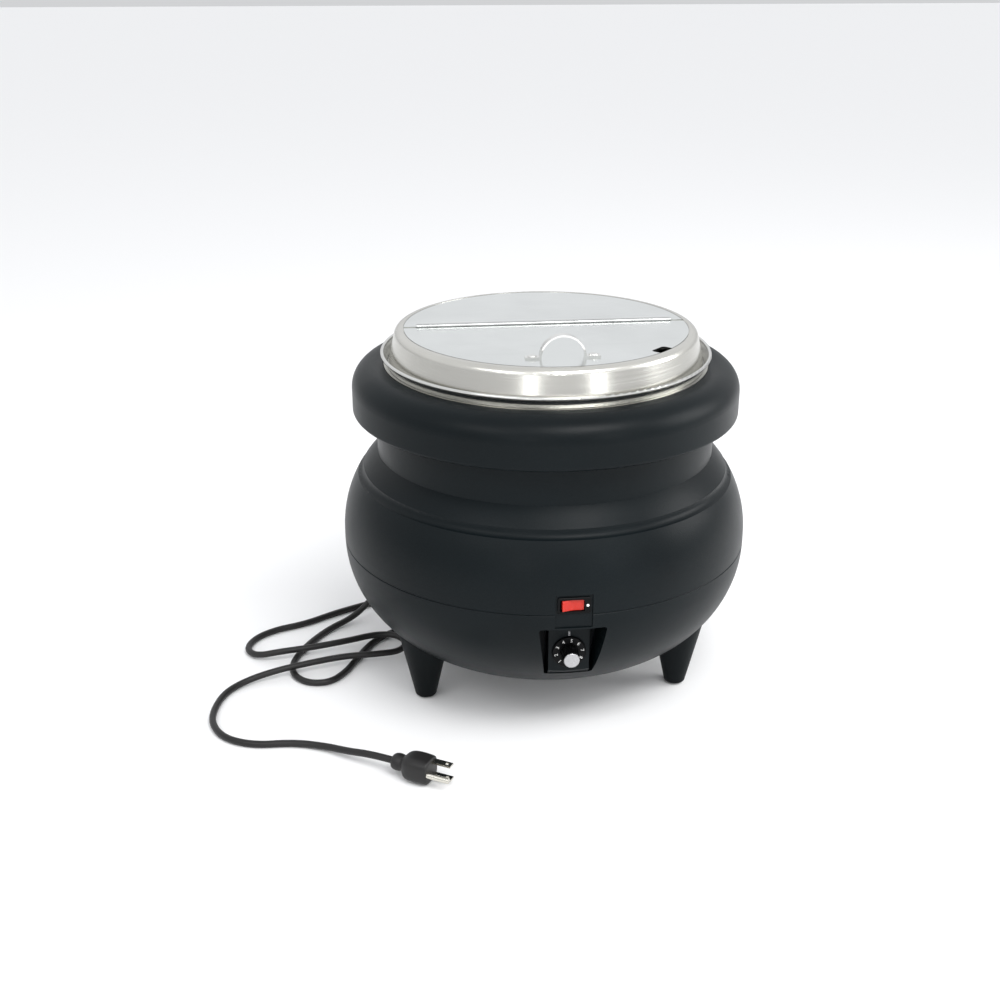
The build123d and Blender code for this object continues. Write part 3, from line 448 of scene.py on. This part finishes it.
# moulded plug: a stepped neck, a rounded back and a flat front face
plugLook = {
    "place": (-0.148, -0.186, 0.0114),
    "heading": -31.0,
    "halfWidth": 0.0118,
    "halfHeight": 0.011,
    "profile": [
        (0.0000, 0.32), (0.0012, 0.52), (0.0030, 0.62), (0.0062, 0.66), (0.0090, 0.62),
        (0.0105, 0.56), (0.0118, 0.62), (0.0132, 0.80), (0.0158, 0.93), (0.0200, 0.99),
        (0.0260, 1.00), (0.0330, 0.97), (0.0352, 0.94), (0.0360, 0.88),
    ],
    "neckEnd": 0.0115,
    "neckSquareness": 2.0,
    "squareness": 3.2,
    "segments": 32,
}


def squircle(halfWidth, halfHeight, power, count):
    ring = []
    for i in range(count):
        angle = 2 * pi * i / count
        across = abs(cos(angle)) ** (2 / power)
        upward = abs(sin(angle)) ** (2 / power)
        ring.append((across * halfWidth * (1 if cos(angle) >= 0 else -1),
                     upward * halfHeight * (1 if sin(angle) >= 0 else -1)))
    return ring


def makePlug(look):
    heading = radians(look["heading"])
    place = axisFrame(look["place"], (cos(heading), sin(heading), 0))
    rings = []
    for along, size in look["profile"]:
        power = look["neckSquareness"] if along < look["neckEnd"] else look["squareness"]
        ring = squircle(look["halfWidth"] * size, look["halfHeight"] * size, power, look["segments"])
        rings.append([place @ Vector((x, y, along)) for x, y in ring])
    mesh = skinRings("plugShell", rings)
    plug = addPiece("plugShell", mesh, "kettle", "cordRubber")
    smooth = plug.modifiers.new("smooth", "SUBSURF")
    smooth.levels = 1
    smooth.render_levels = 1
    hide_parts("plug_body")
    return plug


plugShell = makePlug(plugLook)

# strain relief: a ribbed tapered sleeve
reliefLook = {
    "start": (-0.1298, 0.0749, 0.0600),
    "direction": (-0.601, 0.347, -0.720),
    "length": 0.024,
    "flangeStart": 0.0003,
    "boreRadius": 0.004,
    "flangeRadius": 0.0089,
    "flangeTaper": 0.0004,
    "flangeEnd": 0.002,
    "baseRadius": 0.0069,
    "tipRadius": 0.0042,
    "ribs": 6,
    "ribDepth": 0.0009,
    "ribTaper": 0.0002,
    "edge": 0.0002,
    "segments": 40,
}


def makeRelief(look):
    place = axisFrame(look["start"], look["direction"])
    profile = [(look["flangeStart"], look["boreRadius"]), (look["flangeStart"], look["flangeRadius"]),
               (look["flangeEnd"], look["flangeRadius"] - look["flangeTaper"])]
    start = look["flangeEnd"]
    pitch = (look["length"] - start) / look["ribs"]
    for i in range(look["ribs"]):
        low = start + i * pitch
        share = (low - start) / (look["length"] - start)
        radius = look["baseRadius"] + (look["tipRadius"] - look["baseRadius"]) * share
        groove = radius - look["ribDepth"]
        profile += [(low + pitch * 0.08, groove), (low + pitch * 0.3, groove),
                    (low + pitch * 0.4, radius), (low + pitch * 0.92, radius - look["ribTaper"])]
    profile += [(look["length"], look["tipRadius"] - look["ribDepth"] / 2)]
    rings = []
    for along, radius in profile:
        rings.append([place @ Vector((radius * cos(2 * pi * i / look["segments"]),
                                      radius * sin(2 * pi * i / look["segments"]), along))
                      for i in range(look["segments"])])
    mesh = skinRings("reliefSleeve", rings)
    sleeve = addPiece("reliefSleeve", mesh, "kettle", "cordRubber")
    softEdges(sleeve, look["edge"])
    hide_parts("strain_relief")
    return sleeve


reliefSleeve = makeRelief(reliefLook)
print("plug and strain relief made")

# knob: a fluted grip, and numbers on the dial behind it
knobLook = {
    "flutes": 18,
    "stepsPerFlute": 8,
    "fluteDepth": 0.0005,
    "sections": [(0.0, 1.0), (0.06, 1.0), (0.5, 0.94), (0.9, 0.885), (0.97, 0.87), (1.0, 0.83)],
    "numbers": ["1", "2", "3", "4", "5", "6", "7", "8"],
    "numberSize": 0.0042,
    "numberRadius": 0.0108,
    "firstAngle": 225.0,
    "stepAngle": -36.0,
    "rise": 0.00012,
}


def makeGrip(look):
    low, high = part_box("knob_grip")
    gripDepth = high[1] - low[1]
    centreX = (low[0] + high[0]) / 2
    dialLow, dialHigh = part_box("knob_dial")
    centreZ = (dialLow[2] + dialHigh[2]) / 2
    back = high[1]
    baseRadius = (high[0] - low[0]) / 2
    steps = look["flutes"] * look["stepsPerFlute"]
    rings = []
    for share, size in look["sections"]:
        ring = []
        for i in range(steps):
            angle = 2 * pi * i / steps
            flute = look["fluteDepth"] * (0.5 + 0.5 * cos(angle * look["flutes"]))
            radius = baseRadius * size - flute
            ring.append(Vector((centreX + radius * cos(angle), back - gripDepth * share,
                                centreZ + radius * sin(angle))))
        rings.append(ring)
    mesh = skinRings("flutedGrip", rings)
    grip = addPiece("flutedGrip", mesh, "knob", "controlPlastic")
    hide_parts("knob_grip")
    return Vector((centreX, dialLow[1], centreZ))


def makeNumbers(look, centre):
    for index, word in enumerate(look["numbers"]):
        angle = radians(look["firstAngle"] + index * look["stepAngle"])
        data = bpy.data.curves.new("dialNumber" + word, "FONT")
        data.body = word
        data.size = look["numberSize"]
        data.align_x = "CENTER"
        data.align_y = "CENTER"
        data.extrude = look["rise"]
        number = bpy.data.objects.new("dialNumber" + word, data)
        bpy.context.scene.collection.objects.link(number)
        data.materials.append(finishes["markWhite"])
        place = centre + Vector((cos(angle), 0, sin(angle))) * look["numberRadius"]
        number.location = place
        number.rotation_euler = (pi / 2, -(angle - pi / 2), 0)
        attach(number, "knob")


dialFace = makeGrip(knobLook)
makeNumbers(knobLook, dialFace)

# index line on the panel above the dial
indexLook = {
    "width": 0.0016,
    "height": 0.0042,
    "gap": 0.0006,
    "rise": 0.00025,
    "panelGap": 0.0004,
}


def makeIndex(look):
    low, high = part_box("knob_dial")
    face = high[1] + look["panelGap"]
    bottom = high[2] + look["gap"]
    mesh = bpy.data.meshes.new("indexLine")
    work = bmesh.new()
    bmesh.ops.create_cube(work, size=1.0)
    size = Matrix.Diagonal((look["width"], look["rise"], look["height"], 1))
    place = Matrix.Translation((0, face - look["rise"] / 2, bottom + look["height"] / 2))
    bmesh.ops.transform(work, matrix=place @ size, verts=work.verts)
    bmesh.ops.bevel(work, geom=work.edges[:], offset=look["rise"] * 0.3, segments=2, affect="EDGES")
    work.to_mesh(mesh)
    work.free()
    addPiece("indexLine", mesh, "kettle", "markGrey")


makeIndex(indexLook)
print("knob and markings made")

# fine rounding on the pieces of the frame whose edges catch the light
edgeWidths = {
    "flap_handle": 0.0004,
    "rocker": 0.0006,
    "switch_plate": 0.0004,
    "control_bezel": 0.0004,
    "plug_blade_1": 0.00025,
    "plug_blade_2": 0.00025,
    "plug_ground_pin": 0.0007,
    "cover_flap": 0.0002,
}
for name, width in edgeWidths.items():
    softEdges(nodes[name], width)
print("edges softened")

# studio: a pale floor, a white surround and soft boxes
studioLook = {
    "floorColour": (0.9, 0.9, 0.9),
    "floorSize": 30.0,
    "skyColour": (0.97, 0.98, 1.0),
    "skyHigh": 1.0,
    "skyRise": 0.35,
    "skyLow": 0.66,
    "boxes": [
        {"name": "topBox", "place": (0.45, -1.15, 1.75), "aim": (0, 0, 0.25),
         "size": (1.1, 0.7), "power": 20},
        {"name": "leftBox", "place": (-0.95, -1.0, 1.35), "aim": (0, 0, 0.2),
         "size": (0.8, 0.5), "power": 4},
        {"name": "frontWindow", "place": (-0.61, -1.87, 0.66), "aim": (0, 0, 0.3),
         "size": (0.2, 0.5), "power": 1.6},
        {"name": "rightWindow", "place": (0.92, -1.65, 0.68), "aim": (0, 0, 0.3),
         "size": (0.24, 0.5), "power": 2},
        {"name": "sideFill", "place": (1.7, -0.2, 0.9), "aim": (0, 0, 0.15),
         "size": (0.9, 0.9), "power": 14},
    ],
}


def makeFloor(look):
    mesh = bpy.data.meshes.new("floor")
    half = look["floorSize"] / 2
    corners = [(-half, -half, 0), (half, -half, 0), (half, half, 0), (-half, half, 0)]
    mesh.from_pydata(corners, [], [(0, 1, 2, 3)])
    floor = bpy.data.objects.new("floor", mesh)
    bpy.context.scene.collection.objects.link(floor)
    matt = {"colour": look["floorColour"], "roughness": 0.85, "specular": 0.1}
    material, shader = newMaterial("paleFloor", matt)
    mesh.materials.append(material)


def makeSky(look):
    world = bpy.data.worlds.new("studioSky")
    world.use_nodes = True
    tree = world.node_tree
    ramp = tree.nodes.new("ShaderNodeMapRange")
    ramp.inputs["From Min"].default_value = 0.0
    ramp.inputs["From Max"].default_value = look["skyRise"]
    ramp.inputs["To Min"].default_value = look["skyLow"]
    ramp.inputs["To Max"].default_value = look["skyHigh"]
    place = tree.nodes.new("ShaderNodeTexCoord")
    parts = tree.nodes.new("ShaderNodeSeparateXYZ")
    tree.links.new(place.outputs["Generated"], parts.inputs["Vector"])
    tree.links.new(parts.outputs["Z"], ramp.inputs["Value"])
    tree.links.new(ramp.outputs["Result"], tree.nodes["Background"].inputs["Strength"])
    tree.nodes["Background"].inputs["Color"].default_value = (*look["skyColour"], 1)
    bpy.context.scene.world = world


def makeBoxes(look):
    for box in look["boxes"]:
        data = bpy.data.lights.new(box["name"], "AREA")
        data.shape = "RECTANGLE"
        data.size, data.size_y = box["size"]
        data.energy = box["power"]
        light = bpy.data.objects.new(box["name"], data)
        light.location = box["place"]
        away = Vector(box["aim"]) - Vector(box["place"])
        light.rotation_euler = away.to_track_quat("-Z", "Y").to_euler()
        bpy.context.scene.collection.objects.link(light)


makeFloor(studioLook)
makeSky(studioLook)
makeBoxes(studioLook)
bpy.context.scene.view_settings.view_transform = "Standard"
print("studio made")
